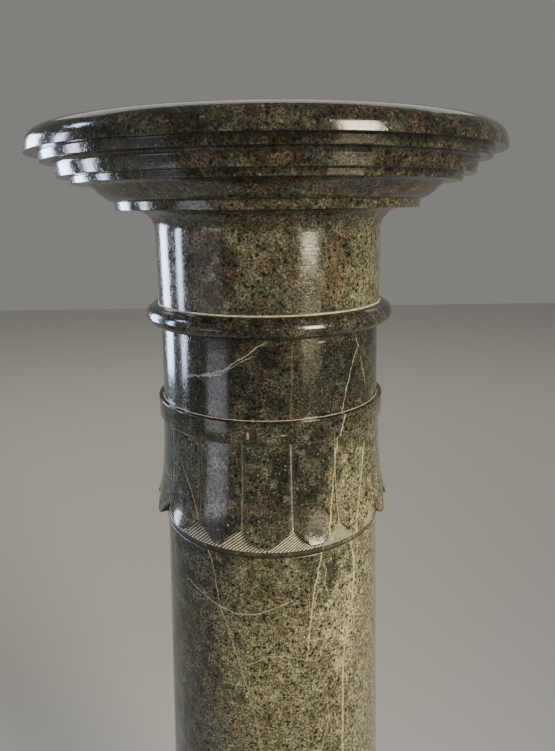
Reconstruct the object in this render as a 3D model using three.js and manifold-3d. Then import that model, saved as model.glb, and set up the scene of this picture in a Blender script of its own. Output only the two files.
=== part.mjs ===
// Pedestal column of polished dark green stone: a turned capital, a tapering shaft with a carved collar
// of leaf tongues, a turned base and a square plinth. Millimetres, +Z up, origin at the centre of the
// plinth's underside. Radii step outwards from the neck or the shaft, and heights stack up from the floor.
import * as THREE from "three";
import { mergeVertices } from "three/addons/utils/BufferGeometryUtils.js";
import Module from "manifold-3d";

// Plinth: a square block with its top edges eased.
const plinthHeight = 64;
const plinthMargin = 10;
const plinthBevel = 4;

// Base: turned, it spreads from the shaft's foot to the plinth.
const baseCollarProjection = 5;
const baseCollarHeight = 8;
const baseCavettoRadius = 14;
const baseFilletProjection = 2;
const baseFilletHeight = 6;
const baseTorusInset = 4.5;
const baseTorusBulge = 16;
const baseTorusHeight = 34;
const baseFootHeight = 8;
const baseFootInset = 2;

// Plain shaft: a long straight taper, narrowest under the carved collar.
const plainShaftHeight = 650;
const shaftTaper = 0.0319;
const rimRadius = 77.8;

// Collar of leaf tongues: a plain ring under the tips, then the leaves up to the flat band.
const leafCount = 16;
const leafPhaseDegrees = 9.1;
const ringHeight = 4;
const ringProjection = 1.2;
const tipRise = 6.8;
const notchHeight = 11.5;
const leafLength = 67.6;
const leafTopRadius = 77.2;
const leafTaper = 0.03;
const leafFlare = 6.8;
const leafRelief = 0.9;
const leafTipWidth = 7.2;
const leafLineWidth = 1;

// Flat band with a crisp upper arris and a rounded lower edge.
const bandHeight = 14.3;
const bandRadius = 79.4;
const bandRound = 2;

// Drum and astragal, the half-round ring under the joint with the capital.
const drumHeight = 50.6;
const drumTopRadius = 74.6;
const drumTaper = 0.0268;
const astragalHeight = 13.6;
const astragalSeat = 2;
const astragalBulge = 8;

// Capital, from the neck up: cavetto, fillet, S-curve, three stepped bands and the top slab.
const neckRadius = 75.6;
const neckHeight = 47.3;
const neckCavettoRadius = 13;
const filletSoffit = 11;
const filletHeight = 5.2;
const filletFlare = 0.9;
const curveReach = 17.5;
const curveHeight = 10.35;
const curveSoffit = 7.3;
const lowStepHeight = 3.85;
const lowStepFlare = 0.6;
const lowStepSoffit = 7.1;
const midStepHeight = 5.6;
const midStepFlare = 1;
const coveRadius = 3.2;
const coveSoffit = 4.7;
const highStepHeight = 4.8;
const highStepFlare = 0.8;
const slabSoffit = 7.6;
const slabHeight = 14.8;
const slabRound = 21;
const slabFullness = 2.7;

// Bedding joint between two stones, and how finely round work is faceted.
const bedJoint = 0.3;
const segmentsPerLeaf = 4;
const roundSegments = leafCount * segmentsPerLeaf;

// Shaft heights, from its own foot up.
const rimHeight = plainShaftHeight;
const ringTopHeight = rimHeight + ringHeight;
const tipHeight = ringTopHeight + tipRise;
const apexHeight = tipHeight + notchHeight;
const leafTopHeight = tipHeight + leafLength;
const bandTopHeight = leafTopHeight + bandHeight;
const drumTopHeight = bandTopHeight + drumHeight;
const shaftHeight = drumTopHeight + astragalHeight;

// Radii that follow from the driving sizes.
const footRadius = rimRadius + shaftTaper * plainShaftHeight;
const drumFootRadius = drumTopRadius + drumTaper * drumHeight;
const tipRadius = leafRadius(tipHeight);
const baseFilletRadius = footRadius + baseCollarProjection + baseCavettoRadius + baseFilletProjection;
const baseTorusCentre = baseFilletRadius + baseTorusInset;
const baseRadius = baseTorusCentre + baseTorusBulge;
const plinthWidth = 2 * (baseRadius + plinthMargin);

// Where each stone stands.
const baseHollowHeight = baseFilletHeight + baseCavettoRadius + baseCollarHeight;
const baseHeight = baseFootHeight + baseTorusHeight + baseHollowHeight;
const basePlace = plinthHeight + bedJoint;
const shaftPlace = basePlace + baseHeight + bedJoint;
const capitalPlace = shaftPlace + shaftHeight + bedJoint;

// Radius of the leaves' outer face at a height in the shaft: a slight taper, then a flare to the tips.
function leafRadius(height) {
  const below = leafTopHeight - height;
  return leafTopRadius + leafTaper * below + leafFlare * (below / leafLength) ** 3;
}

// A point of a turned profile.
function at(radius, height) {
  return new THREE.Vector2(radius, height);
}

// Points along a profile whose radius depends on the height.
function between(low, high, steps, radiusAt) {
  const points = [];
  for (let i = 0; i <= steps; i += 1) {
    const height = low + ((high - low) * i) / steps;
    points.push(at(radiusAt(height), height));
  }
  return points;
}

// Points along a round or oval moulding, by its centre, its two half sizes and its angles in degrees.
function moulding(radius, height, out, up, from, to, steps) {
  const points = [];
  for (let i = 0; i <= steps; i += 1) {
    const angle = THREE.MathUtils.degToRad(from + ((to - from) * i) / steps);
    points.push(at(radius + out * Math.cos(angle), height + up * Math.sin(angle)));
  }
  return points;
}

// Solid or ring of revolution about +Z. A facet corner stands on every line between two leaves.
function turned(points, segments = roundSegments, startDegrees = leafPhaseDegrees) {
  const geometry = new THREE.LatheGeometry(points, segments, THREE.MathUtils.degToRad(startDegrees));
  geometry.rotateX(Math.PI / 2);
  return geometry;
}

function plinthGeometry() {
  const corner = (plinthWidth / 2) * Math.SQRT2;
  const topCorner = corner - plinthBevel * Math.SQRT2;
  const outline = [
    at(0, 0),
    at(corner, 0),
    at(corner, plinthHeight - plinthBevel),
    at(topCorner, plinthHeight),
    at(0, plinthHeight),
  ];
  return turned(outline, 4, 45);
}

function baseGeometry() {
  const collarRadius = footRadius + baseCollarProjection;
  const cavettoCentre = collarRadius + baseCavettoRadius;
  const torusMiddle = baseFootHeight + baseTorusHeight / 2;
  const filletLow = baseFootHeight + baseTorusHeight;
  const filletHigh = filletLow + baseFilletHeight;
  const collarLow = filletHigh + baseCavettoRadius;
  const cavetto = baseCavettoRadius;
  return turned([
    at(0, 0),
    at(baseRadius - baseFootInset, 0),
    at(baseRadius - baseFootInset, baseFootHeight),
    ...moulding(baseTorusCentre, torusMiddle, baseTorusBulge, baseTorusHeight / 2, -90, 90, 6),
    at(baseFilletRadius, filletLow),
    at(baseFilletRadius, filletHigh),
    ...moulding(cavettoCentre, collarLow, cavetto, cavetto, 270, 180, 3),
    at(collarRadius, baseHeight),
    at(0, baseHeight),
  ]);
}

// The shaft as it leaves the lathe, with the ground that the leaves stand out from.
function shaftCoreGeometry() {
  const bandCentre = bandRadius - bandRound;
  const astragalCentre = drumTopRadius + astragalSeat;
  const astragalMiddle = drumTopHeight + astragalHeight / 2;
  return turned([
    at(0, 0),
    at(footRadius, 0),
    at(rimRadius, rimHeight),
    at(rimRadius + ringProjection, ringTopHeight),
    ...between(apexHeight, leafTopHeight, 2, (height) => leafRadius(height) - leafRelief),
    ...moulding(bandCentre, leafTopHeight + bandRound, bandRound, bandRound, -90, 0, 2),
    at(bandRadius, bandTopHeight),
    at(drumFootRadius, bandTopHeight),
    at(drumTopRadius, drumTopHeight),
    ...moulding(astragalCentre, astragalMiddle, astragalBulge, astragalHeight / 2, -90, 90, 6),
    at(0, shaftHeight),
  ]);
}

// The bell of stone that the leaves are cut from.
function leafBellGeometry() {
  const inside = rimRadius / 2;
  return turned([
    at(inside, tipHeight),
    ...between(tipHeight, leafTopHeight, 5, leafRadius),
    at(inside, leafTopHeight),
    at(inside, tipHeight),
  ]);
}

// What is cut away between two leaves: a fine line, opening to a triangle between their tips.
function leafGapGeometry() {
  const halfLine = leafLineWidth / 2;
  const halfPitch = tipRadius * Math.sin(Math.PI / leafCount);
  const slope = (halfPitch - leafTipWidth / 2 - halfLine) / notchHeight;
  const low = tipHeight - tipRise / 2;
  const halfFoot = halfLine + slope * (apexHeight - low);
  const outline = new THREE.Shape([
    at(-halfLine, leafTopHeight),
    at(-halfLine, apexHeight),
    at(-halfFoot, low),
    at(halfFoot, low),
    at(halfLine, apexHeight),
    at(halfLine, leafTopHeight),
  ]);
  const geometry = new THREE.ExtrudeGeometry(outline, { depth: tipRadius, bevelEnabled: false });
  geometry.rotateX(Math.PI / 2);
  geometry.translate(0, -rimRadius / 2, 0);
  return geometry;
}

function capitalGeometry() {
  const cavetto = neckCavettoRadius;
  const cavettoCentre = neckRadius + cavetto;
  const filletRadius = cavettoCentre + filletSoffit;
  const curveStart = filletRadius + filletFlare;
  const curveEnd = curveStart + curveReach;
  const lowStepRadius = curveEnd + curveSoffit;
  const midStepRadius = lowStepRadius + lowStepFlare + lowStepSoffit;
  const coveCentre = midStepRadius + midStepFlare + coveRadius;
  const highStepRadius = coveCentre + coveSoffit;
  const slabRadius = highStepRadius + highStepFlare + slabSoffit;

  const filletLow = neckHeight + cavetto;
  const curveLow = filletLow + filletHeight;
  const lowStepLow = curveLow + curveHeight;
  const midStepLow = lowStepLow + lowStepHeight;
  const coveLow = midStepLow + midStepHeight;
  const highStepLow = coveLow + coveRadius;
  const slabLow = highStepLow + highStepHeight;

  // The S-curve leaves the fillet level, rises and ends level under the lowest step.
  const curve = [];
  const curveSteps = 5;
  for (let i = 0; i <= curveSteps; i += 1) {
    const rise = (1 - Math.cos((Math.PI * i) / curveSteps)) / 2;
    curve.push(at(curveStart + (curveReach * i) / curveSteps, curveLow + curveHeight * rise));
  }

  // The slab's edge is a full, squarish round from its sharp lower arris to the flat top.
  const edge = [];
  const edgeSteps = 6;
  for (let i = 0; i <= edgeSteps; i += 1) {
    const angle = (Math.PI / 2) * (i / edgeSteps);
    const inward = 1 - Math.cos(angle) ** (2 / slabFullness);
    const rise = Math.sin(angle) ** (2 / slabFullness);
    edge.push(at(slabRadius - slabRound * inward, slabLow + slabHeight * rise));
  }

  return turned([
    at(0, 0),
    at(neckRadius, 0),
    ...moulding(cavettoCentre, neckHeight, cavetto, cavetto, 180, 90, 4),
    at(filletRadius, filletLow),
    ...curve,
    at(lowStepRadius, lowStepLow),
    at(lowStepRadius + lowStepFlare, midStepLow),
    at(midStepRadius, midStepLow),
    ...moulding(coveCentre, coveLow, coveRadius, coveRadius, 180, 90, 2),
    at(highStepRadius, highStepLow),
    at(highStepRadius + highStepFlare, slabLow),
    ...edge,
    at(0, slabLow + slabHeight),
  ]);
}

const wasm = await Module();
wasm.setup();

function toSolid(geometry) {
  const bare = new THREE.BufferGeometry();
  bare.setAttribute("position", geometry.getAttribute("position").clone());
  bare.setIndex(geometry.getIndex());
  const merged = mergeVertices(bare, 1e-4);
  const corners = merged.getIndex().array;
  const faces = [];
  for (let i = 0; i < corners.length; i += 3) {
    const [a, b, c] = [corners[i], corners[i + 1], corners[i + 2]];
    if (a !== b && b !== c && c !== a) {
      faces.push(a, b, c);
    }
  }
  return new wasm.Manifold(new wasm.Mesh({
    numProp: 3,
    vertProperties: new Float32Array(merged.getAttribute("position").array),
    triVerts: new Uint32Array(faces),
  }));
}

function toGeometry(solid) {
  const mesh = solid.getMesh();
  const geometry = new THREE.BufferGeometry();
  geometry.setAttribute("position", new THREE.BufferAttribute(mesh.vertProperties, 3));
  geometry.setIndex(new THREE.BufferAttribute(mesh.triVerts, 1));
  geometry.computeVertexNormals();
  return geometry;
}

// The collar is carved as a mason does it: the bell is turned first, then cut between the leaves.
function shaftGeometry() {
  let leaves = toSolid(leafBellGeometry());
  for (let i = 0; i < leafCount; i += 1) {
    const gap = leafGapGeometry();
    const turn = leafPhaseDegrees + (360 * i) / leafCount;
    gap.rotateZ(THREE.MathUtils.degToRad(turn));
    leaves = leaves.subtract(toSolid(gap));
  }
  return toGeometry(toSolid(shaftCoreGeometry()).add(leaves));
}

const polishedStone = { color: 0x3f4438, roughness: 0.22, metalness: 0 };

function stonePiece(name, geometry, height) {
  const mesh = new THREE.Mesh(geometry, new THREE.MeshStandardMaterial(polishedStone));
  mesh.name = name;
  mesh.position.z = height;
  return mesh;
}

const column = new THREE.Group();
column.add(stonePiece("plinth", plinthGeometry(), 0));
column.add(stonePiece("base", baseGeometry(), basePlace));
column.add(stonePiece("shaft", shaftGeometry(), shaftPlace));
column.add(stonePiece("capital", capitalGeometry(), capitalPlace));

export default column;
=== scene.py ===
import math
import random

import bpy
from mathutils import Matrix, Vector
from mathutils import noise as stone_noise


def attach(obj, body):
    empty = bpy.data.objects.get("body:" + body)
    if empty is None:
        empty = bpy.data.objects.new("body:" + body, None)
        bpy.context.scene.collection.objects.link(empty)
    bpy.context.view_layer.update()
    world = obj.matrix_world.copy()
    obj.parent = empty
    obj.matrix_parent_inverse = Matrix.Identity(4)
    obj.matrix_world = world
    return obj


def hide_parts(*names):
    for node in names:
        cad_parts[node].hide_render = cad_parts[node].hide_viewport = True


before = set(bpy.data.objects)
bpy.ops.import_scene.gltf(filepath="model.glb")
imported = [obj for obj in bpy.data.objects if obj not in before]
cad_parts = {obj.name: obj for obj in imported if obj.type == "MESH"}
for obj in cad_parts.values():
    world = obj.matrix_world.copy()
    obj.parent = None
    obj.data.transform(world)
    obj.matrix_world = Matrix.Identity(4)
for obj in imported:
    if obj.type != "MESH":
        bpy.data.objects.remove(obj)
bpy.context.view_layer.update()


# Plinth
# The real piece is a square block of the column's own stone, sawn, ground and polished, that the turned
# base stands on. The photograph stops above it, so it is kept plain.

def linear(hex_colour):
    """An sRGB hex colour as linear red, green, blue and alpha."""
    parts = [int(hex_colour[i:i + 2], 16) / 255 for i in (1, 3, 5)]
    return [p / 12.92 if p <= 0.04045 else ((p + 0.055) / 1.055) ** 2.4 for p in parts] + [1.0]


math_node = "ShaderNodeMath"
range_node = "ShaderNodeMapRange"
mix_node = "ShaderNodeMix"
noise_node = "ShaderNodeTexNoise"
cell_node = "ShaderNodeTexVoronoi"
vector_node = "ShaderNodeVectorMath"


def add(tree, kind, values=(), **settings):
    """Adds a node with its settings. The values fill or link its inputs, in their order or by name.

    A mix of colours has its share as input 0 and its colours as 6 and 7. A vector's scale is input 3.
    """
    node = tree.nodes.new(kind)
    for key, value in settings.items():
        setattr(node, key, value)
    pairs = values.items() if isinstance(values, dict) else enumerate(values)
    for key, value in pairs:
        if isinstance(value, bpy.types.Node):
            value = next(socket for socket in value.outputs if socket.enabled)
        if isinstance(value, bpy.types.NodeSocket):
            tree.links.new(value, node.inputs[key])
        elif value is not None:
            node.inputs[key].default_value = linear(value) if isinstance(value, str) else value
    return node


# A degree of azimuth is 1.38 mm on a stone of 79 mm radius. A vein fades out over these lengths.
mm_per_degree = 1.38
rising_fade_mm = 3.0
level_fade_degrees = 2.0


def vein_mask(tree, along, across, mm_per_unit, points, width, wobble, mottle):
    """How much of a vein shows. Its points say how far across it lies at each place along it."""
    low = points[0][0]
    high = points[-1][0]
    least = min(p[1] for p in points) - 1
    most = max(p[1] for p in points) + 1
    place = add(tree, range_node, (along, low, high))
    course = add(tree, "ShaderNodeFloatCurve", {"Value": place})
    curve = course.mapping.curves[0]
    spots = [((a - low) / (high - low), (b - least) / (most - least)) for a, b in points]
    curve.points[0].location = spots[0]
    curve.points[1].location = spots[-1]
    for spot in spots[1:-1]:
        curve.points.new(*spot)
    for point in curve.points:
        point.handle_type = "VECTOR"
    course.mapping.update()
    middle = add(tree, range_node, (course, 0.0, 1.0, least, most))
    offset = add(tree, math_node, (across, middle), operation="SUBTRACT")
    offset = add(tree, math_node, (offset, mm_per_unit, wobble), operation="MULTIPLY_ADD")
    offset = add(tree, math_node, (offset,), operation="ABSOLUTE")
    edge = add(tree, math_node, (mottle, width, 0.08), operation="MULTIPLY_ADD")
    core = add(tree, math_node, (offset, edge), operation="DIVIDE")
    line = add(tree, range_node, (core, 0.35, 1.0, 1.0, 0.0), interpolation_type="SMOOTHSTEP")
    slack = rising_fade_mm if mm_per_unit > 1 else level_fade_degrees
    starts = add(tree, range_node, (along, low - slack, low + slack))
    stops = add(tree, range_node, (along, high - slack, high + slack, 1.0, 0.0))
    ends = add(tree, math_node, (starts, stops), operation="MULTIPLY")
    return add(tree, math_node, (line, ends), operation="MULTIPLY")


def spot_mask(tree, azimuth, height, spot, wobble, inner, outer):
    """A soft oval spot at an azimuth and a height, with its half width and half height in mm."""
    across = add(tree, math_node, (azimuth, spot[0]), operation="SUBTRACT")
    across = add(tree, math_node, (across, mm_per_degree / spot[2]), operation="MULTIPLY")
    across = add(tree, math_node, (across, 2.0), operation="POWER")
    up = add(tree, math_node, (height, spot[1]), operation="SUBTRACT")
    up = add(tree, math_node, (up, spot[3]), operation="DIVIDE")
    reach = add(tree, math_node, (up, up, across), operation="MULTIPLY_ADD")
    reach = add(tree, math_node, (reach, wobble), operation="ADD")
    return add(tree, range_node, (reach, inner, outer, 1.0, 0.0), interpolation_type="SMOOTHSTEP")


stroke_pitch = 1.7


def serpentine(name, shift, details=None):
    """Polished serpentine. Black grains of 1 to 3 mm and a paler network lie in a green-brown ground.

    Its polish mirrors the room sharply, so dark parts look wet and black. The shift, in mm, gives a stone
    a part of the pattern of its own. The details are its two ground colours, and lists of veins and of
    spots. A spot is azimuth, height, half width and half height in mm, and strength.
    """
    details = details or {}
    material = bpy.data.materials.new(name)
    material.use_nodes = True
    tree = material.node_tree
    tree.nodes.clear()
    soft = {"interpolation_type": "SMOOTHSTEP"}
    place = add(tree, "ShaderNodeTexCoord").outputs["Object"]
    mm = add(tree, vector_node, (place, (1000.0, 1000.0, 1000.0)), operation="MULTIPLY")
    stone = add(tree, vector_node, (mm, shift), operation="ADD")
    axes = add(tree, "ShaderNodeSeparateXYZ", (mm,))
    front = add(tree, math_node, (axes.outputs[1], -1.0), operation="MULTIPLY")
    turn = add(tree, math_node, (axes.outputs[0], front), operation="ARCTAN2")
    azimuth = add(tree, math_node, (turn,), operation="DEGREES")
    height = axes.outputs[2]

    # A wander of up to 8 mm bends the broad shapes, and one of 1 mm roughens the grains.
    drift = add(tree, noise_node, (stone, None, 1 / 34, 2.0))
    drift = add(tree, vector_node, (drift.outputs["Color"], (0.5, 0.5, 0.5)), operation="SUBTRACT")
    folded = add(tree, vector_node, (drift, (16.0, 16.0, 16.0), stone), operation="MULTIPLY_ADD")
    jitter = add(tree, noise_node, (stone, None, 1 / 1.7, 3.0, 0.65))
    jitter = add(tree, vector_node, (jitter.outputs["Color"], (0.5, 0.5, 0.5)), operation="SUBTRACT")
    ragged = add(tree, vector_node, (jitter, (2.6, 2.6, 2.6), stone), operation="MULTIPLY_ADD")

    # The ground drifts from green-black to olive over some 60 mm. Paler, greyer and rusty clouds of 10 to
    # 20 mm lie in it, and the light parts of a piece are flecked with straw yellow at every 1.7 mm. On the
    # lit right side of the shaft and the neck, these light parts are partly painted light.
    broad = add(tree, noise_node, (folded, None, 1 / 62, 4.0, 0.6))
    broad = add(tree, range_node, (broad, 0.36, 0.64), **soft)
    colour = add(tree, mix_node, {0: broad, 6: details.get("dark ground", "#1f201b"),
                                  7: details.get("light ground", "#38372d")}, data_type="RGBA")
    patchy = add(tree, noise_node, (folded, None, 1 / 13, 4.0, 0.65))
    patchy = add(tree, range_node, (patchy, 0.44, 0.66, 0.0, 0.6), **soft)
    colour = add(tree, mix_node, {0: patchy, 6: colour, 7: "#5b594a"}, data_type="RGBA")
    grey = add(tree, noise_node, (folded, None, 1 / 19, 4.0, 0.65))
    grey = add(tree, range_node, (grey, 0.50, 0.64, 0.0, 0.7), **soft)
    colour = add(tree, mix_node, {0: grey, 6: colour, 7: "#3a4138"}, data_type="RGBA")
    rust = add(tree, noise_node, (stone, None, 1 / 11, 4.0, 0.7))
    rust = add(tree, range_node, (rust, 0.54, 0.66, 0.0, 0.6), **soft)
    colour = add(tree, mix_node, {0: rust, 6: colour, 7: "#4d382b"}, data_type="RGBA")
    rough_edge = add(tree, noise_node, (stone, None, 1 / 9, 4.0, 0.7))
    rough_edge = add(tree, range_node, (rough_edge, 0.0, 1.0, -1.8, 1.8))
    flecks = add(tree, noise_node, (ragged, None, 1 / 1.7, 4.0, 0.75))
    flecks = add(tree, range_node, (flecks, 0.40, 0.60, 0.12, 0.80), **soft)
    for patch in details.get("light", []):
        mask = spot_mask(tree, azimuth, height, patch, rough_edge, -0.3, 1.5)
        mask = add(tree, math_node, (mask, flecks), operation="MULTIPLY")
        mask = add(tree, math_node, (mask, patch[4]), operation="MULTIPLY")
        colour = add(tree, mix_node, {0: mask, 6: colour, 7: "#a9a47d"}, data_type="RGBA")
    for patch in details.get("rust", []):
        mask = spot_mask(tree, azimuth, height, patch, rough_edge, -0.4, 1.2)
        mask = add(tree, math_node, (mask, patch[4]), operation="MULTIPLY")
        colour = add(tree, mix_node, {0: mask, 6: colour, 7: "#5c422b"}, data_type="RGBA")

    # Grit of 1.3 mm makes it lighter and darker. A paler network of 2 to 3 mm mesh comes and goes, and
    # where it goes the black grains gather. They are cells of 3.2 mm, with a pepper of 1.8 mm between.
    grit = add(tree, noise_node, (ragged, None, 1 / 1.3, 4.0, 0.75))
    grit = add(tree, range_node, (grit, 0.41, 0.59, 0.28, 1.8))
    colour = add(tree, vector_node, {0: colour, 3: grit}, operation="SCALE")
    broken = add(tree, noise_node, (folded, None, 1 / 6, 4.0, 0.65))
    network = add(tree, noise_node, (ragged, None, 1 / 3.0, 2.0, 0.6))
    network = add(tree, math_node, (network, 0.5), operation="SUBTRACT")
    network = add(tree, math_node, (network,), operation="ABSOLUTE")
    network = add(tree, range_node, (network, 0.002, 0.020, 1.0, 0.0), **soft)
    finer = add(tree, cell_node, {"Vector": ragged, "Scale": 1 / 2.2}, feature="DISTANCE_TO_EDGE")
    finer = add(tree, range_node, (finer, 0.0, 0.09, 0.6, 0.0), **soft)
    network = add(tree, math_node, (network, finer), operation="MAXIMUM")
    shown = add(tree, range_node, (broken, 0.36, 0.60, 0.15, 1.0), **soft)
    network = add(tree, math_node, (network, shown), operation="MULTIPLY")
    network = add(tree, range_node, (network, 0.0, 1.0, 1.0, 3.3))
    colour = add(tree, vector_node, {0: colour, 3: network}, operation="SCALE")
    clustered = add(tree, range_node, (broken, 0.35, 0.65, 0.30, -0.30))
    grains = add(tree, cell_node, {"Vector": ragged, "Scale": 1 / 3.2})
    chosen = add(tree, "ShaderNodeSeparateColor", (grains.outputs["Color"],))
    chosen = add(tree, math_node, (chosen.outputs[0], clustered), operation="ADD")
    near = add(tree, range_node, (grains.outputs["Distance"], 0.26, 0.44, 1.0, 0.0), **soft)
    black = add(tree, range_node, (chosen, 0.58, 0.66))
    black = add(tree, math_node, (near, black), operation="MULTIPLY")
    small = add(tree, cell_node, {"Vector": ragged, "Scale": 1 / 1.8})
    chosen = add(tree, "ShaderNodeSeparateColor", (small.outputs["Color"],))
    near = add(tree, range_node, (small.outputs["Distance"], 0.18, 0.44, 1.0, 0.0), **soft)
    pepper = add(tree, range_node, (chosen.outputs[0], 0.46, 0.56, 0.0, 0.92))
    pepper = add(tree, math_node, (near, pepper), operation="MULTIPLY")
    black = add(tree, math_node, (black, pepper), operation="MAXIMUM")
    covered = add(tree, math_node, (black, 0.92), operation="MULTIPLY")
    colour = add(tree, mix_node, {0: covered, 6: colour, 7: "#090806"}, data_type="RGBA")
    pale = add(tree, range_node, (chosen.outputs[1], 0.86, 0.92, 0.0, 0.55))
    pale = add(tree, math_node, (near, pale), operation="MULTIPLY")
    colour = add(tree, mix_node, {0: pale, 6: colour, 7: "#9a9784"}, data_type="RGBA")

    # Whole zones of a piece are darker. Over the capital's slab and the mouldings under it this is darker
    # stone and painted shade; on the shaft it darkens the drum and a strip on the left.
    for patch in details.get("shade", []):
        mask = spot_mask(tree, azimuth, height, patch, rough_edge, -0.3, 1.5)
        mask = add(tree, range_node, (mask, 0.0, 1.0, 1.0, 1.0 - patch[4]))
        colour = add(tree, vector_node, {0: colour, 3: mask}, operation="SCALE")

    # Veins of pale calcite, here and there stained by iron, are mostly 0.6 to 1.4 mm wide. Stray ones
    # run at random where a piece has none of its own: at the back and low down.
    wobble = add(tree, noise_node, (stone, None, 1 / 5, 5.0, 0.85))
    wobble = add(tree, range_node, (wobble, 0.0, 1.0, -2.1, 2.1))
    mottle = add(tree, noise_node, (stone, None, 1 / 3.2, 3.0, 0.7))
    mottle = add(tree, range_node, (mottle, 0.38, 0.64, 0.35, 1.7))
    stain = add(tree, noise_node, (stone, None, 1 / 14, 2.0))
    stain = add(tree, range_node, (stain, 0.40, 0.58), **soft)
    stray = add(tree, cell_node, {"Vector": folded, "Scale": 1 / 120}, feature="DISTANCE_TO_EDGE")
    stray = add(tree, math_node, (wobble, 0.0016, stray), operation="MULTIPLY_ADD")
    stray = add(tree, range_node, (stray, 0.001, 0.007, 0.8, 0.0), **soft)
    gaps = add(tree, noise_node, (stone, None, 1 / 55, 2.0))
    gaps = add(tree, range_node, (gaps, 0.44, 0.56), **soft)
    stray = add(tree, math_node, (stray, gaps), operation="MULTIPLY")
    if details.get("veins"):
        aside = add(tree, math_node, (azimuth,), operation="ABSOLUTE")
        aside = add(tree, range_node, (aside, 58.0, 72.0), **soft)
        below = add(tree, range_node, (height, 590.0, 620.0, 1.0, 0.0), **soft)
        unseen = add(tree, math_node, (aside, below), operation="MAXIMUM")
        stray = add(tree, math_node, (stray, unseen), operation="MULTIPLY")
    colour = add(tree, mix_node, {0: stray, 6: colour, 7: "#8f8870"}, data_type="RGBA")
    for kind, points, width, strength, tint, iron in details.get("veins", []):
        if kind == "rising":
            line = vein_mask(tree, height, azimuth, mm_per_degree, points, width, wobble, mottle)
        else:
            line = vein_mask(tree, azimuth, height, 1.0, points, width, wobble, mottle)
        rusty = add(tree, math_node, (stain, iron), operation="MULTIPLY")
        tint = add(tree, mix_node, {0: rusty, 6: tint, 7: "#8a6a48"}, data_type="RGBA")
        line = add(tree, math_node, (line, strength), operation="MULTIPLY")
        colour = add(tree, mix_node, {0: line, 6: colour, 7: tint}, data_type="RGBA")
    # Single dark blots and pale chips lie over all of it.
    for spot in details.get("dark", []):
        mask = spot_mask(tree, azimuth, height, spot, rough_edge, 0.0, 1.2)
        mask = add(tree, math_node, (mask, spot[4]), operation="MULTIPLY")
        colour = add(tree, mix_node, {0: mask, 6: colour, 7: "#0d0c08"}, data_type="RGBA")
    for spot in details.get("pale", []):
        mask = spot_mask(tree, azimuth, height, spot, wobble, 0.0, 1.2)
        mask = add(tree, math_node, (mask, spot[4]), operation="MULTIPLY")
        colour = add(tree, mix_node, {0: mask, 6: colour, 7: "#a39d82"}, data_type="RGBA")

    # Tooled stone is left rough and pale with dust, and painted shade darkens the chisel's grooves between
    # the ridges.
    tooled = add(tree, "ShaderNodeAttribute", attribute_name="tooled").outputs["Fac"]
    stroke = add(tree, "ShaderNodeAttribute", attribute_name="stroke").outputs["Fac"]
    groove_shade = add(tree, math_node, (wobble, 0.15, stroke), operation="MULTIPLY_ADD")
    groove_shade = add(tree, math_node, (groove_shade, stroke_pitch / 2), operation="PINGPONG")
    groove_shade = add(tree, range_node, (groove_shade, 0.30, 0.58, 0.01, 1.05), **soft)
    dust = add(tree, noise_node, (stone, None, 1 / 1.6, 3.0, 0.7))
    dust = add(tree, range_node, (dust, 0.35, 0.65))
    dust = add(tree, mix_node, {0: dust, 6: "#aba385", 7: "#f6eed2"}, data_type="RGBA")
    dust = add(tree, vector_node, {0: dust, 3: groove_shade}, operation="SCALE")
    amount = add(tree, math_node, (wobble, 0.06, tooled), operation="MULTIPLY_ADD")
    amount = add(tree, range_node, (amount, 0.30, 0.72, 0.0, 0.95), **soft)
    colour = add(tree, mix_node, {0: amount, 6: colour, 7: dust}, data_type="RGBA")
    # Grime and painted shade darken the recesses: the corners under the band and round the drum, the ring
    # under the leaf tips and the walls of the leaves.
    shade_and_grime = add(tree, "ShaderNodeAttribute", attribute_name="shade_and_grime").outputs["Fac"]
    shaded_and_dirty = add(tree, math_node, (shade_and_grime, 0.85), operation="MULTIPLY")
    colour = add(tree, mix_node, {0: shaded_and_dirty, 6: colour, 7: "#0e0c08"}, data_type="RGBA")

    # The polish is a little uneven, duller in the grime and painted shade and in the black grains, and gone
    # where tooled. The stone waves gently over 24 mm, and fine rings of the lathe lie across it.
    gloss = add(tree, noise_node, (stone, None, 1 / 6, 3.0))
    gloss = add(tree, range_node, (gloss, 0.3, 0.7, 0.09, 0.15))
    gloss = add(tree, math_node, (shade_and_grime, 1.0, gloss), operation="MULTIPLY_ADD")
    gloss = add(tree, math_node, (black, 0.03, gloss), operation="MULTIPLY_ADD")
    matt = add(tree, math_node, (amount, 0.78), operation="MULTIPLY")
    gloss = add(tree, math_node, (gloss, matt), operation="MAXIMUM")
    relief = add(tree, noise_node, (stone, None, 1 / 24, 1.0))
    relief = add(tree, math_node, (relief, 0.16), operation="MULTIPLY")
    lathe = add(tree, vector_node, (mm, (0.02, 0.02, 1.6)), operation="MULTIPLY")
    lathe = add(tree, noise_node, (lathe, None, 1.0, 2.0))
    relief = add(tree, math_node, (lathe, 0.014, relief), operation="MULTIPLY_ADD")
    relief = add(tree, math_node, (black, -0.018, relief), operation="MULTIPLY_ADD")
    rough = add(tree, noise_node, (stone, None, 1 / 0.9, 2.0))
    rough = add(tree, math_node, (rough, amount), operation="MULTIPLY")
    relief = add(tree, math_node, (rough, 0.24, relief), operation="MULTIPLY_ADD")
    bump = add(tree, "ShaderNodeBump", {"Height": relief, "Strength": 1.0, "Distance": 0.001})
    shader = add(tree, "ShaderNodeBsdfPrincipled",
                 {"Base Color": colour, "Roughness": gloss, "Normal": bump, "IOR": 1.56})
    add(tree, "ShaderNodeOutputMaterial", {"Surface": shader})
    return material


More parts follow.
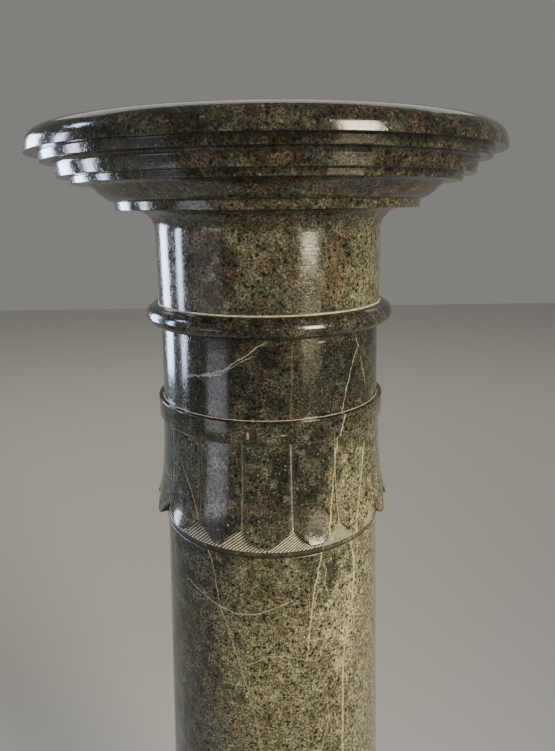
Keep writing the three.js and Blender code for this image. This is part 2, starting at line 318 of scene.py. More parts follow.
def rounded_corners(corners, ease):
    """Eases the sharp corners of a turned profile.

    A corner is radius, height and finish: above zero is how far it is left tooled, below zero is grime and
    painted shade.
    """
    done = [corners[0]]
    for before, here, after in zip(corners, corners[1:], corners[2:]):
        a = Vector(here[:2]) - Vector(before[:2])
        b = Vector(after[:2]) - Vector(here[:2])
        rough = here[2] if len(here) > 2 else 0.0
        if a.length < 1e-6 or b.length < 1e-6 or a.angle(b) < 0.22:
            done.append((here[0], here[1], rough))
            continue
        size = min(ease, a.length * 0.3, b.length * 0.3)
        start = Vector(here[:2]) - a.normalized() * size
        end = Vector(here[:2]) + b.normalized() * size
        if a.length > size * 4:
            extra = start - a.normalized() * size * 0.7
            done.append((extra.x, extra.y, 0.0))
        for t in (0.0, 0.33, 0.67, 1.0):
            spot = start * (1 - t) ** 2 + Vector(here[:2]) * 2 * t * (1 - t) + end * t ** 2
            done.append((spot.x, spot.y, rough))
        if b.length > size * 4:
            extra = end + b.normalized() * size * 0.7
            done.append((extra.x, extra.y, 0.0))
    done.append(corners[-1])
    return [(p[0], p[1], p[2] if len(p) > 2 else 0.0) for p in done]


def round_moulding(radius, height, out, up, start, end, steps):
    """Points along a round or oval moulding, by its centre, half sizes and angles in degrees."""
    angles = [math.radians(start + (end - start) * i / steps) for i in range(steps + 1)]
    return [(radius + out * math.cos(a), height + up * math.sin(a)) for a in angles]


def hand_polish(x, y, z, radius):
    """How far hand polishing left a turned surface from true, in mm."""
    soft = stone_noise.noise(Vector((x, y, z)) / 38.0) * 0.09
    return soft * min(1.0, radius / 40.0)


def make_object(name, vertices, faces, values=None):
    """A smooth piece from vertices in mm, with its point values."""
    mesh = bpy.data.meshes.new(name)
    mesh.from_pydata([[c / 1000 for c in v] for v in vertices], [], faces)
    for key, numbers in (values or {}).items():
        mesh.attributes.new(key, "FLOAT", "POINT").data.foreach_set("value", numbers)
    mesh.validate()
    mesh.shade_smooth()
    piece = bpy.data.objects.new(name, mesh)
    bpy.context.scene.collection.objects.link(piece)
    return piece


def turned(name, profile, segments=256):
    """A lathe-turned piece. The profile runs from the middle of its bed up to the middle of its top."""
    vertices = []
    finish = []
    rows = []
    for radius, height, rough in profile:
        if radius < 0.01:
            rows.append([len(vertices)])
            vertices.append((0.0, 0.0, height))
            finish.append(rough)
            continue
        rows.append(list(range(len(vertices), len(vertices) + segments)))
        for i in range(segments):
            turn = 2 * math.pi * i / segments
            x = radius * math.sin(turn)
            y = -radius * math.cos(turn)
            wide = 1 + hand_polish(x, y, height, radius) / radius
            vertices.append((x * wide, y * wide, height))
            finish.append(rough)
    faces = []
    for low, high in zip(rows, rows[1:]):
        for i in range(segments):
            j = (i + 1) % segments
            corners = [low[i % len(low)], low[j % len(low)], high[j % len(high)], high[i % len(high)]]
            faces.append(list(dict.fromkeys(corners)))
    return make_object(name, vertices, faces, {"tooled": [max(0.0, f) for f in finish],
                                               "shade_and_grime": [max(0.0, -f) for f in finish]})


def settle(piece, node, material):
    """The piece takes its material and stands for its CAD solid."""
    piece.data.materials.clear()
    piece.data.materials.append(material)
    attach(piece, "root")
    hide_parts(node)


plinth_size = 300.07
plinth_height = 64.0
plinth_bevel = 4.0

polished_serpentine = serpentine("polished serpentine, ground and buffed", (0.0, 0.0, 0.0))


def plinth_block():
    """A square block in rings of points, which lie close together where its arrises are eased."""
    half = plinth_size / 2
    bevel_foot = plinth_height - plinth_bevel
    top_half = half - plinth_bevel
    sections = [(half - 0.5, 0.0), (half, 0.5), (half, 1.2), (half, plinth_height * 0.5),
                (half, bevel_foot - 1.2), (half, bevel_foot - 0.4), (half - 0.2, bevel_foot + 0.2),
                (top_half + 0.2, plinth_height - 0.2), (top_half - 0.4, plinth_height),
                (top_half - 1.4, plinth_height)]
    per_side = 24
    corner = 0.8
    vertices = []
    rows = []
    for reach, height in sections:
        ring = []
        for side in range(4):
            turn = math.pi / 2 * side
            flat = reach - corner
            spots = [(reach, -flat + 2 * flat * i / per_side) for i in range(per_side + 1)]
            spots += [(flat + corner * math.cos(a), flat + corner * math.sin(a)) for a in
                      (math.pi / 8, math.pi / 4, math.pi * 3 / 8)]
            for x, y in spots:
                ring.append(len(vertices))
                vertices.append((x * math.cos(turn) - y * math.sin(turn),
                                 x * math.sin(turn) + y * math.cos(turn), height))
        rows.append(ring)
    faces = []
    for low, high in zip(rows, rows[1:]):
        for i in range(len(low)):
            j = (i + 1) % len(low)
            faces.append([low[i], low[j], high[j], high[i]])
    vertices += [(0.0, 0.0, 0.0), (0.0, 0.0, plinth_height)]
    for i in range(len(rows[0])):
        j = (i + 1) % len(rows[0])
        faces.append([len(vertices) - 2, rows[0][j], rows[0][i]])
        faces.append([len(vertices) - 1, rows[-1][i], rows[-1][j]])
    return make_object("plinth_stone", vertices, faces)


settle(plinth_block(), "plinth", polished_serpentine)


# Base
# The real piece is one turned ring-moulded stone between plinth and shaft: a foot, a big torus, a fillet, a
# cavetto and a collar. It is turned on a lathe and polished. It is below the photograph, so kept plain.

base_bed = 64.3
base_profile = [
    (0.0, 0.0), (138.0, 0.0), (138.0, 8.0),
    *round_moulding(124.0, 25.0, 16.0, 17.0, -88, 88, 26),
    (119.5, 42.0), (119.5, 48.0),
    *round_moulding(117.5, 62.0, 14.0, 14.0, 268, 182, 16),
    (103.5, 62.0), (103.5, 70.0), (0.0, 70.0),
]
base_profile = [(p[0], p[1] + base_bed, *p[2:]) for p in rounded_corners(base_profile, 0.5)]
settle(turned("base_stone", base_profile), "base", polished_serpentine)


# Shaft
# The real piece is one stone, turned from its foot to the round astragal under the capital. A mason cut
# the bell above the rim into sixteen leaf tongues and left the ground between them tooled, not polished.

leaf_count = 16
leaf_turn = 9.1
shaft_foot = 134.6
foot_radius = 98.5
rim_height = 784.6
rim_radius = 77.8
ring_top = 788.6
ring_radius = 79.0
tip_height = 795.4
apex_height = 806.9
leaf_top = 863.0
leaf_top_radius = 77.2
leaf_flare = 6.8
leaf_relief = 0.9
leaf_line = 1.0
leaf_tip_width = 7.2
band_radius = 79.4
band_top = 877.3
drum_top = 927.9
shaft_top = 941.5
stroke_depth = 0.3
half_sector = 180.0 / leaf_count
gap_columns = 28
leaf_columns = 7
half_row_last = gap_columns + 3 + leaf_columns
plain_half_columns = 8


def leaf_radius(height):
    """The radius of a leaf's face. It flares towards the tip."""
    below = leaf_top - height
    return leaf_top_radius + 0.03 * below + leaf_flare * (below / (leaf_top - tip_height)) ** 3


apex_ground = leaf_radius(apex_height) - leaf_relief
half_pitch = leaf_radius(tip_height) * math.sin(math.radians(half_sector))
gap_spread = half_pitch - leaf_tip_width / 2 - leaf_line / 2


def gap_half_width(height):
    """Half the gap between two leaves, in mm. Their edges swell a little before they meet the line."""
    if height >= apex_height:
        return leaf_line / 2
    low = max(height, tip_height - 0.2)
    share = (apex_height - low) / (apex_height - tip_height)
    width = leaf_line / 2 + gap_spread * (share - 0.06 * share * (1 - share))
    over = max(0.0, (low - tip_height + 0.2) / 1.3)
    if over < 1:
        width += 1.0 * (1 - math.sqrt(1 - (1 - over) ** 2))
    return width


def collar_half_row(height, tip_share):
    """A row of the collar from the middle of a gap to the middle of a leaf.

    The answer is a list of azimuth, radius, how far it is tooled, and how much grime and painted shade
    darken it.
    """
    ground = ring_radius + (apex_ground - ring_radius) * (height - ring_top) / (apex_height - ring_top)
    face = leaf_radius(height)
    if height > apex_height:
        ground = face - leaf_relief
    raised = ground + (face - ground) * tip_share
    gap = gap_half_width(height)
    row = []
    for i in range(gap_columns + 1):
        x = gap * i / gap_columns
        rough = 0.46 if height > apex_height else 1.0 if height > ring_top + 0.9 else 0.0
        # At the foot of the collar the ground is darkened with grime and painted shade.
        shade_and_dirt = 0.85 if rough < 0.1 else 0.0
        row.append((math.degrees(math.asin(x / ground)), ground, rough, shade_and_dirt))
    for step, share in ((0.12, 0.55), (0.24, 0.93), (0.7, 1.0)):
        x = gap + step
        radius = ground + (raised - ground) * (share if tip_share > 0 else 0.0)
        # The walls of the leaves are darkened with painted shade along their edges.
        shade_and_dirt = 0.8 if share < 0.9 else 0.3 if share < 1.0 else 0.0
        if tip_share < 0.01:
            row.append((math.degrees(math.asin(x / radius)), radius, *row[0][2:]))
            continue
        row.append((math.degrees(math.asin(x / radius)), radius, 0.0, shade_and_dirt if height < apex_height else 0.2))
    start = row[-1][0]
    for i in range(1, leaf_columns + 1):
        turn = start + (half_sector - start) * i / leaf_columns
        # Under the tips the leaves' ground is darkened a little with painted shade.
        row.append((turn, raised, 0.0, 0.0 if tip_share > 0.9 else 0.3))
    return row


def mirrored(row):
    """A whole sector's row, from the middle of one leaf to the middle of the next."""
    left = [(-turn, radius, rough, shade_and_dirt) for turn, radius, rough, shade_and_dirt in row]
    return left[:0:-1] + row


def plain_row(radius, rough, shade_and_dirt=0.0):
    """A row of a plain turned part of the sector."""
    columns = range(-plain_half_columns, plain_half_columns + 1)
    return [(half_sector * i / plain_half_columns, radius, rough, shade_and_dirt) for i in columns]


def both_sides(marks, last):
    """Marks on half a row, mirrored about its last point."""
    return [last - m for m in reversed(marks[1:])] + [last + m for m in marks]


shaft_rows = []


def add_row(height, row, kept_below=None, kept_above=None):
    """Adds a row. Where its count changes, the kept marks say which points of the two rows are joined."""
    shaft_rows.append((height, row, kept_below, kept_above))


foot_rows = rounded_corners([(0.0, shaft_foot), (foot_radius, shaft_foot), (rim_radius, rim_height),
                             (ring_radius, ring_top)], 0.5)
# The first seven rows are the bed and its eased edge, and nineteen more follow the taper to the rim.
foot_middle = foot_rows[6]
for i, (radius, height, rough) in enumerate(foot_rows[:7]):
    add_row(height, [(0.0, 0.0, 0.0, 0.0)] if radius < 0.01 else plain_row(radius, rough))
for i in range(1, 20):
    share = i / 20
    height = foot_middle[1] + (rim_height - foot_middle[1]) * share
    up = (height - shaft_foot) / (rim_height - shaft_foot)
    add_row(height, plain_row(foot_radius + (rim_radius - foot_radius) * up, 0.0))
# A fine sunk line, dark with grime and painted shade, parts the plain shaft from the ring under the
# leaves, and painted shade darkens the ring up to the leaf tips.
for radius, height, shade_and_dirt in ((77.84, rim_height - 1.0, 0.0), (rim_radius, rim_height - 0.5, 0.2),
                             (77.35, rim_height - 0.2, 1.0), (77.35, rim_height + 0.4, 1.0),
                             (78.15, rim_height + 0.7, 1.0), (78.4, rim_height + 1.8, 0.75),
                             (78.8, ring_top - 0.8, 0.45), (78.9, ring_top - 0.25, 0.45)):
    add_row(height, plain_row(radius, 0.0, shade_and_dirt))

ring_marks = both_sides([0, 4, 8, 12, 16, 21, 25, 29, half_row_last], half_row_last)
collar_heights = []
for i in range(15):
    collar_heights.append((ring_top + 0.05 + (tip_height - 0.25 - ring_top) * i / 14, 0.0))
collar_heights += [(tip_height - 0.15, 0.05), (tip_height - 0.10, 0.35), (tip_height - 0.05, 0.7),
                   (tip_height + 0.02, 0.93), (tip_height + 0.2, 0.985), (tip_height + 0.5, 1.0)]
gap_steps = 24
for i in range(1, gap_steps + 1):
    height = tip_height + 0.5 + (apex_height - tip_height - 0.5) * i / gap_steps
    collar_heights.append((height, 1.0))
for i, (height, tip_share) in enumerate(collar_heights):
    row = mirrored(collar_half_row(height, tip_share))
    add_row(height, row, None, ring_marks if i == 0 else None)

# The line between two leaves runs up from the gap, and fades into a painted shadow under the band.
line_marks = [0, 14, 28, 30, 31, 32, 33, 34, 35, 36, 37, half_row_last]
line_heights = [apex_height + 1.2 + (leaf_top - 1.6 - apex_height - 1.2) * i / 25 for i in range(26)]
line_heights += [leaf_top - 0.9, leaf_top - 0.1]
for i, height in enumerate(line_heights):
    whole = collar_half_row(height, 1.0)
    shadow = max(0.0, 1 - (leaf_top - height) / 1.6)
    row = mirrored([(*whole[m][:3], max(whole[m][3], shadow)) for m in line_marks])
    add_row(height, row, both_sides(line_marks, half_row_last) if i == 0 else None, None)

band_marks = both_sides([0, 4, 5, 6, 7, 8, 9, 10, 11], 11)
# Below zero the finish darkens the corners under the band and round the drum with grime and painted shade.
# The pale tooled rings on the top ledges of the band and the astragal also paint the highlight that these
# narrow ledges catch.
upper_profile = [
    (77.3, leaf_top, -1.0), (77.8, leaf_top, -0.9),
    *round_moulding(band_radius - 1.2, leaf_top + 1.2, 1.2, 1.2, -80, 0, 4),
    (band_radius, band_top), (76.5, band_top, -0.8), (75.96, band_top + 0.2, 0.6),
    (74.6, drum_top - 0.3, -0.6), (75.0, drum_top, -0.8),
    *round_moulding(76.6, (drum_top + shaft_top) / 2, 8.0, (shaft_top - drum_top) / 2, -88, 88, 20),
    (75.4, shaft_top, 0.8), (0.0, shaft_top),
]
upper_profile = rounded_corners(upper_profile, 0.35)
smooth_rows = []
for before, here in zip(upper_profile, upper_profile[1:]):
    smooth_rows.append(before)
    steps = int(abs(here[1] - before[1]) / 5.0)
    for i in range(1, steps):
        share = i / steps
        smooth_rows.append((before[0] + (here[0] - before[0]) * share,
                            before[1] + (here[1] - before[1]) * share, 0.0))
smooth_rows.append(upper_profile[-1])
for i, (radius, height, rough) in enumerate(smooth_rows):
    row = [(0.0, 0.0, 0.0, 0.0)] if radius < 0.01 else plain_row(radius, max(0.0, rough), max(0.0, -rough))
    add_row(height, row, band_marks if i == 0 else None, None)


def sector_mesh():
    """One sixteenth of the shaft, from the middle of a leaf to the middle of the next."""
    vertices = []
    tooled = []
    shade_and_grime = []
    rows = []
    for height, row, _, _ in shaft_rows:
        rows.append(list(range(len(vertices), len(vertices) + len(row))))
        for turn, radius, rough, shade_and_dirt in row:
            shade_and_grime.append(shade_and_dirt)
            a = math.radians(turn)
            vertices.append((radius * math.sin(a), -radius * math.cos(a), height))
            tooled.append(rough)
    faces = []
    for i in range(len(rows) - 1):
        low = rows[i]
        high = rows[i + 1]
        low_marks = shaft_rows[i + 1][2]
        high_marks = shaft_rows[i + 1][3]
        count = max(len(low_marks or []), len(high_marks or []), min(len(low), len(high)))
        if len(low) == 1 or len(high) == 1:
            count = max(len(low), len(high))
        low_marks = low_marks or (list(range(count)) if len(low) > 1 else [0] * count)
        high_marks = high_marks or (list(range(count)) if len(high) > 1 else [0] * count)
        for j in range(count - 1):
            bottom = low[low_marks[j]:low_marks[j + 1] + 1]
            top = high[high_marks[j]:high_marks[j + 1] + 1]
            faces.append(list(dict.fromkeys(bottom + top[::-1])))
    return make_object("one leaf of the shaft", vertices, faces, {"tooled": tooled, "shade_and_grime": shade_and_grime})


def ring_of_leaves():
    """A Geometry Nodes tree that sets the sector round the axis and welds the joints."""
    tree = bpy.data.node_groups.new("ring of leaves", "GeometryNodeTree")
    ports = tree.interface
    ports.new_socket("Sector", in_out="INPUT", socket_type="NodeSocketGeometry")
    ports.new_socket("Leaves", in_out="INPUT", socket_type="NodeSocketInt")
    ports.new_socket("First turn", in_out="INPUT", socket_type="NodeSocketFloat")
    ports.new_socket("Weld distance", in_out="INPUT", socket_type="NodeSocketFloat")
    ports.new_socket("Stone", in_out="INPUT", socket_type="NodeSocketMaterial")
    ports.new_socket("Shaft", in_out="OUTPUT", socket_type="NodeSocketGeometry")
    inputs = add(tree, "NodeGroupInput").outputs
    points = add(tree, "GeometryNodeMeshLine", {"Count": inputs["Leaves"], "Offset": (0.0, 0.0, 0.0)})
    step = add(tree, math_node, (2 * math.pi, inputs["Leaves"]), operation="DIVIDE")
    number = add(tree, "GeometryNodeInputIndex")
    turn = add(tree, math_node, (number, step, inputs["First turn"]), operation="MULTIPLY_ADD")
    rotation = add(tree, "ShaderNodeCombineXYZ", {"Z": turn})
    copies = add(tree, "GeometryNodeInstanceOnPoints",
                 {"Points": points, "Instance": inputs["Sector"], "Rotation": rotation})
    real = add(tree, "GeometryNodeRealizeInstances", {"Geometry": copies})
    welded = add(tree, "GeometryNodeMergeByDistance", {"Geometry": real, "Distance": inputs["Weld distance"]})
    dressed = add(tree, "GeometryNodeSetMaterial", {"Geometry": welded, "Material": inputs["Stone"]})
    add(tree, "NodeGroupOutput", {"Shaft": dressed})
    return tree


def grown(piece, tree, values, name):
    """The plain mesh object that a Geometry Nodes tree makes of a piece, which is then removed."""
    modifier = piece.modifiers.new("grow", "NODES")
    modifier.node_group = tree
    sockets = {item.name: item.identifier for item in tree.interface.items_tree if item.in_out == "INPUT"}
    for key, value in values.items():
        modifier[sockets[key]] = value
    bpy.context.view_layer.update()
    evaluated = piece.evaluated_get(bpy.context.evaluated_depsgraph_get())
    mesh = bpy.data.meshes.new_from_object(evaluated)
    mesh.name = name
    piece.modifiers.clear()
    old = piece.data
    bpy.data.objects.remove(piece)
    bpy.data.meshes.remove(old)
    whole = bpy.data.objects.new(name, mesh)
    bpy.context.scene.collection.objects.link(whole)
    return whole


# A vein is which way it runs, its points (height and azimuth if it rises, azimuth and height if it is
# level), its half width in mm, its strength, its colour, and how rusty it is.
shaft_details = {
    "veins": [
        ("rising", [(560, 2.0), (600, -4.5), (637, -6.8), (668, -10.4), (689, -14.2), (705, -17.5),
                    (731, -23.0), (746, -27.2), (778, -31.3), (786, -34.5), (810, -36.1), (826, -42.0),
                    (842, -50.2)],
         0.55, 0.95, "#a39276", 0.6),
        ("level", [(-49.8, 755.8), (-39.6, 751.2), (-30.7, 746.6), (-19.1, 742.6), (-9.6, 743.1),
                   (7.8, 752.5)],
         0.38, 0.9, "#a8a392", 0.0),
        ("rising", [(709, 15.9), (737, 18.2), (757, 19.9), (785, 24.4), (805, 26.2), (828, 29.5), (857, 32.5),
                    (866, 33.6), (878, 36.3)],
         0.5, 0.95, "#c6c196", 0.0),
        ("rising", [(878, 36.3), (894, 39.7), (907, 43.3), (918, 48.1), (926, 45.6)],
         0.34, 0.85, "#b5ae84", 0.0),
        ("rising", [(560, 34.0), (640, 36.0), (699, 36.5), (722, 40.2), (745, 44.2), (769, 45.2), (797, 40.0),
                    (806, 42.4), (827, 48.4), (851, 52.5)],
         0.7, 0.95, "#c6bf90", 0.1),
        ("level", [(20.6, 778.7), (21.9, 779.3), (23.6, 780.5)], 0.35, 0.8, "#bdb890", 0.0),
        ("rising", [(753.9, 27.5), (760.7, 25.6), (770.6, 26.7), (778.8, 24.3)], 0.35, 0.8, "#bdb890", 0.0),
        ("rising", [(746.4, 20.1), (752.1, 20.9), (757.6, 22.3), (762.5, 20.8)], 0.3, 0.7, "#bdb890", 0.0),
        ("rising", [(590, 15.0), (630, 22.8), (654, 27.5), (674, 26.5)], 0.5, 0.75, "#aca67f", 0.1),
        ("level", [(-12.5, 704.5), (-3.2, 711.8), (5.5, 712.1), (13.8, 707.2)], 0.5, 0.9, "#aba58a", 0.0),
        ("level", [(-37.1, 668.7), (-22.8, 662.5), (-10.0, 656.2)], 0.4, 0.6, "#857b6e", 0.2),
        ("level", [(-53.2, 640.6), (-40.2, 619.0), (-20.0, 600.0)], 0.4, 0.6, "#857b6e", 0.3),
        ("level", [(-45.0, 901.0), (-31.7, 903.9), (-22.9, 907.4), (-17.7, 912.8), (-10.0, 919.3),
                   (-2.0, 926.5)],
         1.1, 0.75, "#9c9587", 0.0),
        ("level", [(-29.0, 904.2), (-22.9, 907.9), (-17.7, 913.3), (-10.0, 919.8), (-2.0, 927.0)],
         0.3, 0.95, "#0d0b08", 0.0),
        ("level", [(-26.0, 905.4), (-21.0, 907.4), (-16.0, 912.8), (-9.0, 918.9), (-4.0, 924.0)],
         0.25, 0.8, "#0d0b08", 0.0),
        ("level", [(-31.0, 903.4), (-23.9, 905.0), (-19.2, 909.3), (-14.0, 913.9), (-8.0, 917.6)],
         0.3, 0.8, "#9a9486", 0.0),
        ("rising", [(893, 54.8), (912, 49.9)], 0.35, 0.7, "#a8a17c", 0.0),
        ("rising", [(866, 9.1), (924, 10.1)], 0.3, 0.35, "#858066", 0.0),
    ],
    # The pale patches on the shaft's right side, where the warm lamp falls, are partly painted light.
    "light": [(62.0, 690.0, 48.0, 190.0, 0.82), (34.0, 735.0, 26.0, 34.0, 0.6),
              (38.0, 812.0, 22.0, 40.0, 0.55), (8.0, 640.0, 60.0, 110.0, 0.46),
              (-5.0, 730.0, 50.0, 60.0, 0.3), (28.0, 500.0, 80.0, 110.0, 0.5),
              (-40.0, 400.0, 70.0, 130.0, 0.35),
              (75.0, 330.0, 60.0, 150.0, 0.5), (150.0, 620.0, 60.0, 150.0, 0.45),
              (-140.0, 450.0, 60.0, 170.0, 0.45), (5.0, 210.0, 80.0, 70.0, 0.4),
              (46.0, 765.0, 5.0, 30.0, 0.8), (41.0, 722.0, 7.0, 26.0, 0.8), (37.0, 698.0, 9.0, 20.0, 0.8)],
    "shade": [(-5.0, 908.0, 400.0, 44.0, 0.55), (-58.0, 690.0, 26.0, 120.0, 0.25)],
    "rust": [(-19.0, 655.0, 4.0, 28.0, 0.3), (-36.0, 690.0, 14.0, 40.0, 0.2)],
    "dark": [(-4.8, 742.8, 2.4, 2.2, 0.85), (3.9, 876.9, 5.0, 1.2, 0.8)],
    "pale": [(24.9, 924.5, 3.2, 0.7, 0.8), (5.2, 869.2, 2.4, 0.7, 0.7), (-10.3, 869.0, 1.0, 2.4, 0.8),
             (-20.1, 808.9, 0.9, 0.9, 0.9), (-15.4, 757.0, 1.6, 1.3, 0.6), (3.1, 767.0, 1.4, 1.2, 0.6)],
}
shaft_serpentine = serpentine("polished serpentine, turned and carved", (0.0, 0.0, 0.0), shaft_details)
shaft = grown(sector_mesh(), ring_of_leaves(),
              {"Leaves": leaf_count, "First turn": math.radians(leaf_turn), "Weld distance": 0.000004,
               "Stone": shaft_serpentine}, "shaft_stone")

# No two leaves were cut alike: each tip is a little wider, longer or further round than the next.
random.seed(16)
leaf_cuts = [(random.uniform(-0.9, 0.9), random.uniform(-0.5, 0.9), random.uniform(-0.25, 0.3))
             for i in range(leaf_count)]
# The five leaves that face the camera are cut as the photograph shows them.
leaf_cuts[0] = (-1.1, 0.0, 0.25)
leaf_cuts[15] = (-1.4, 0.0, 0.3)
leaf_cuts[14] = (-0.3, 0.3, -0.35)
leaf_cuts[13] = (1.3, 2.8, 0.2)
leaf_cuts[1] = (-0.8, 0.8, 0.2)
finish = shaft.data.attributes["tooled"].data
strokes = []
for vertex, dressed in zip(shaft.data.vertices, finish):
    x, y, z = [c * 1000 for c in vertex.co]
    radius = math.hypot(x, y)
    turn = math.degrees(math.atan2(x, -y))
    strokes.append(stroke_pitch / 2)
    if radius < 1:
        continue
    if ring_top < z < apex_height:
        place = (turn - leaf_turn - half_sector) / (2 * half_sector)
        push, rise, widen = leaf_cuts[round(place) % leaf_count]
        off = (place - round(place)) * 2
        edge = math.degrees(math.asin(min(1.0, gap_half_width(z) / radius))) / half_sector
        near = min(1.0, (1 - abs(off)) / edge)
        low = (apex_height - z) / (apex_height - tip_height)
        if z < tip_height:
            low = (z - ring_top) / (tip_height - ring_top)
        turn += (push + widen * off * half_sector) * low * near
        z += rise * low * near
        if dressed.value > 0.5:
            line = (turn - leaf_turn) / (2 * half_sector)
            across = math.radians((line - round(line)) * 2 * half_sector) * radius
            stroke = 0.66 * across + 0.75 * (apex_height - z)
            strokes[-1] = stroke
            radius -= stroke_depth * (0.5 - 0.5 * math.cos(2 * math.pi * stroke / stroke_pitch))
    radius += hand_polish(x, y, z, radius)
    vertex.co = [radius * math.sin(math.radians(turn)) / 1000, -radius * math.cos(math.radians(turn)) / 1000,
                 z / 1000]
shaft.data.attributes.new("stroke", "FLOAT", "POINT").data.foreach_set("value", strokes)
settle(shaft, "shaft", shaft_serpentine)


# Capital
# The real piece is one turned stone: a straight neck that opens by a cavetto, a fillet, an S-curve and
# four steps under a thick round slab with a full edge. It is turned on a lathe and polished all over.

capital_bed = 941.8
s_curve = [(100.5 + 17.5 * i / 14, 65.5 + 10.35 * (1 - math.cos(math.pi * i / 14)) / 2) for i in range(15)]
slab_edge = []
for i in range(19):
    a = math.pi / 2 * i / 18
    slab_edge.append((150.3 - 21 * (1 - math.cos(a) ** (2 / 2.7)), 93.3 + 14.8 * math.sin(a) ** (2 / 2.7)))
capital_profile = [
    # The pale tooled ring round the bed also paints the highlight of the joint over the astragal.
    (0.0, 0.0), (75.6, 0.0, 0.9), (75.6, 12.0), (75.6, 24.0), (75.6, 36.0),
    *round_moulding(88.6, 47.3, 13.0, 13.0, 180, 90, 16),
    (99.6, 60.3), *s_curve, (125.3, 75.85), (125.9, 79.7), (133.0, 79.7),
    *round_moulding(137.2, 85.3, 3.2, 3.2, 180, 90, 8),
    (141.9, 88.5), (142.7, 93.3), *slab_edge, (100.0, 108.1), (50.0, 108.1), (0.0, 108.1),
]
capital_profile = [(p[0], p[1] + capital_bed, p[2]) for p in rounded_corners(capital_profile, 0.35)]
capital_serpentine = serpentine("polished serpentine, turned for the capital", (310.0, 120.0, 55.0), {
    "dark ground": "#232219", "light ground": "#3b382b",
    # Painted shade, with darker stone, darkens the slab and the mouldings under it.
    "shade": [(0.0, 1054.0, 900.0, 50.0, 0.64)],
    # The pale patch on the right of the neck is painted light.
    "light": [(58.0, 965.0, 30.0, 40.0, 0.4)],
    "veins": [("rising", [(943, 33.0), (967, 31.1), (989, 28.2)], 0.3, 0.3, "#6e5c42", 0.5)],
    # The first rusty spot, on the right of the neck, is a painted pink reflection; the two on the steps are
    # rust.
    "rust": [(31.0, 967.0, 8.0, 24.0, 0.35), (3.0, 1026.0, 7.0, 4.0, 0.3), (-1.0, 1012.0, 7.0, 5.0, 0.25)],
    "dark": [(-2.0, 982.0, 6.0, 3.0, 0.5)],
    "pale": [(13.8, 991.0, 1.6, 1.6, 0.3), (17.4, 979.8, 3.0, 0.6, 0.8)],
})
settle(turned("capital_stone", capital_profile), "capital", capital_serpentine)


# Bedding
# The real joints are thin beds of pale putty, wiped off flush where one stone stands on the next. Over the
# astragal the bed shows as a fine cream line round the foot of the neck.

# Lime putty dries chalky and matt, and the wiping leaves it greyer and whiter at every 2.5 mm.
lime_putty = bpy.data.materials.new("pale lime putty, wiped off by hand")
lime_putty.use_nodes = True
putty_tree = lime_putty.node_tree
putty_tree.nodes.clear()
putty_place = add(putty_tree, "ShaderNodeTexCoord").outputs["Object"]
putty_cloud = add(putty_tree, noise_node, {"Vector": putty_place, "Scale": 1000 / 2.5, "Detail": 3.0})
putty_patch = add(putty_tree, range_node, (putty_cloud, 0.3, 0.7))
putty_colour = add(putty_tree, mix_node, {0: putty_patch, 6: "#a59f88", 7: "#e6e1cb"}, data_type="RGBA")
putty_bump = add(putty_tree, "ShaderNodeBump", {"Height": putty_cloud, "Strength": 0.6, "Distance": 0.0002})
putty_shader = add(putty_tree, "ShaderNodeBsdfPrincipled",
                   {"Base Color": putty_colour, "Roughness": 0.75, "Normal": putty_bump, "IOR": 1.5})
add(putty_tree, "ShaderNodeOutputMaterial", {"Surface": putty_shader})

for name, bed, reach in (("bedding_under_base", plinth_height, 137.2), ("bedding_under_shaft", 134.3, 97.9),
                         ("bedding_under_capital", shaft_top, 75.6)):
    bead = [(0.0, 0.02), (reach - 1.0, 0.02), (reach + 0.7, 0.01), (reach + 0.82, 0.3), (reach + 0.6, 0.5),
            (reach + 0.15, 0.75), (reach - 0.05, 0.8), (reach - 0.06, 0.28), (0.0, 0.28)]
    piece = turned(name, [(r, z + bed, 0.0) for r, z in bead])
    piece.data.materials.append(lime_putty)
    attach(piece, "root")


# Studio
# A pale floor, a pale room and soft lamps. The camera stands where the photograph was taken from.

def lamp(name, place, target, wide, high, power, colour, spread=70):
    """A soft oblong lamp that faces a point. Its grid lets the light out over the spread, in degrees."""
    light = bpy.data.lights.new(name, "AREA")
    light.shape = "RECTANGLE"
    light.size = wide
    light.size_y = high
    light.energy = power
    light.spread = math.radians(spread)
    light.color = linear(colour)[:3]
    holder = bpy.data.objects.new(name, light)
    holder.location = place
    holder.rotation_euler = (Vector(target) - Vector(place)).to_track_quat("-Z", "Y").to_euler()
    bpy.context.scene.collection.objects.link(holder)


def around(azimuth, distance, height):
    """A place in metres by its azimuth from the camera's side, its distance and its height."""
    a = math.radians(azimuth)
    return (distance * math.sin(a), -distance * math.cos(a), height)


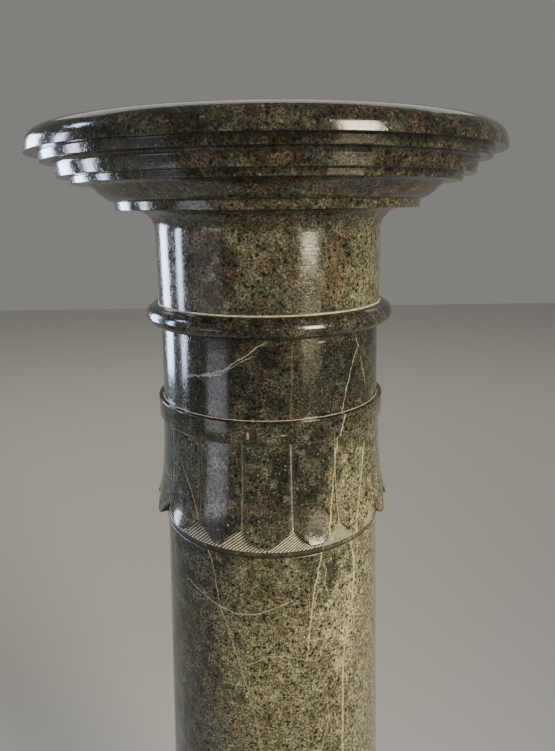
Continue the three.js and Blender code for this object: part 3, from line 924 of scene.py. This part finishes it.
lamp("first window on the left", around(-126, 1.8, 0.99), (0, 0, 1.0), 0.5, 1.04, 6.4, "#cfe0ff")
lamp("second window on the left", around(-97.5, 1.8, 1.0), (0, 0, 1.0), 0.24, 1.0, 2.8, "#d6e4ff")
lamp("grey room on the left", around(-62, 1.9, 0.83), (0, 0, 0.95), 1.1, 0.46, 0.62, "#e3dcef", 180)
lamp("sky over the second window", around(-95.5, 1.8, 2.02), (0, 0, 1.0), 0.3, 0.26, 1.1, "#c4d8ff")
lamp("grey wall on the left", around(-55, 1.9, 0.36), (0, 0, 0.8), 0.75, 0.42, 0.36, "#dfe3f5")
lamp("warm window on the right", around(39, 1.8, 1.31), (0, 0, 0.95), 0.5, 0.92, 8.4, "#fff1d2")
lamp("warm sill on the right", around(42, 1.8, 0.62), (0, 0, 0.95), 0.66, 0.13, 0.1, "#ffedc4")
lamp("soft light overhead", (0, 2.2, 3.0), (0, 1.2, 0), 4.0, 2.0, 28, "#fffaf2", 180)

# Photographer's paper is matt and pale, and takes only a soft shadow.
half_floor = 6
floor_mesh = bpy.data.meshes.new("floor")
floor_mesh.from_pydata([(-half_floor, -half_floor, 0), (half_floor, -half_floor, 0),
                        (half_floor, half_floor, 0), (-half_floor, half_floor, 0)], [], [(0, 1, 2, 3)])
floor = bpy.data.objects.new("floor", floor_mesh)
bpy.context.scene.collection.objects.link(floor)
paper = bpy.data.materials.new("pale matt paper")
paper.use_nodes = True
paper.node_tree.nodes["Principled BSDF"].inputs["Base Color"].default_value = linear("#d9d7d1")
paper.node_tree.nodes["Principled BSDF"].inputs["Roughness"].default_value = 0.9
floor.data.materials.append(paper)

world = bpy.data.worlds.new("pale room")
world.use_nodes = True
world.node_tree.nodes["Background"].inputs["Color"].default_value = linear("#e6e4df")
world.node_tree.nodes["Background"].inputs["Strength"].default_value = 0.28
bpy.context.scene.world = world

camera_place = Vector((0.0, -0.4364, 1.0037))
camera_pitch = math.radians(15.13)
camera_yaw = math.radians(0.68)
camera_roll = math.radians(-0.69)
focal_pixels = 626.4
frame_height = 751
ahead = Vector((math.sin(camera_yaw) * math.cos(camera_pitch), math.cos(camera_yaw) * math.cos(camera_pitch),
                -math.sin(camera_pitch)))
level_right = Vector((math.cos(camera_yaw), -math.sin(camera_yaw), 0.0))
level_up = level_right.cross(ahead)
right = level_right * math.cos(camera_roll) + level_up * math.sin(camera_roll)
up = level_up * math.cos(camera_roll) - level_right * math.sin(camera_roll)
camera_data = bpy.data.cameras.new("camera")
camera_data.sensor_width = 36.0
camera_data.lens = 36.0 * focal_pixels / frame_height
camera_data.clip_start = 0.01
camera = bpy.data.objects.new("camera", camera_data)
turn_matrix = Matrix((right, up, -ahead)).transposed()
camera.matrix_world = Matrix.Translation(camera_place) @ turn_matrix.to_4x4()
bpy.context.scene.collection.objects.link(camera)
bpy.context.scene.camera = camera
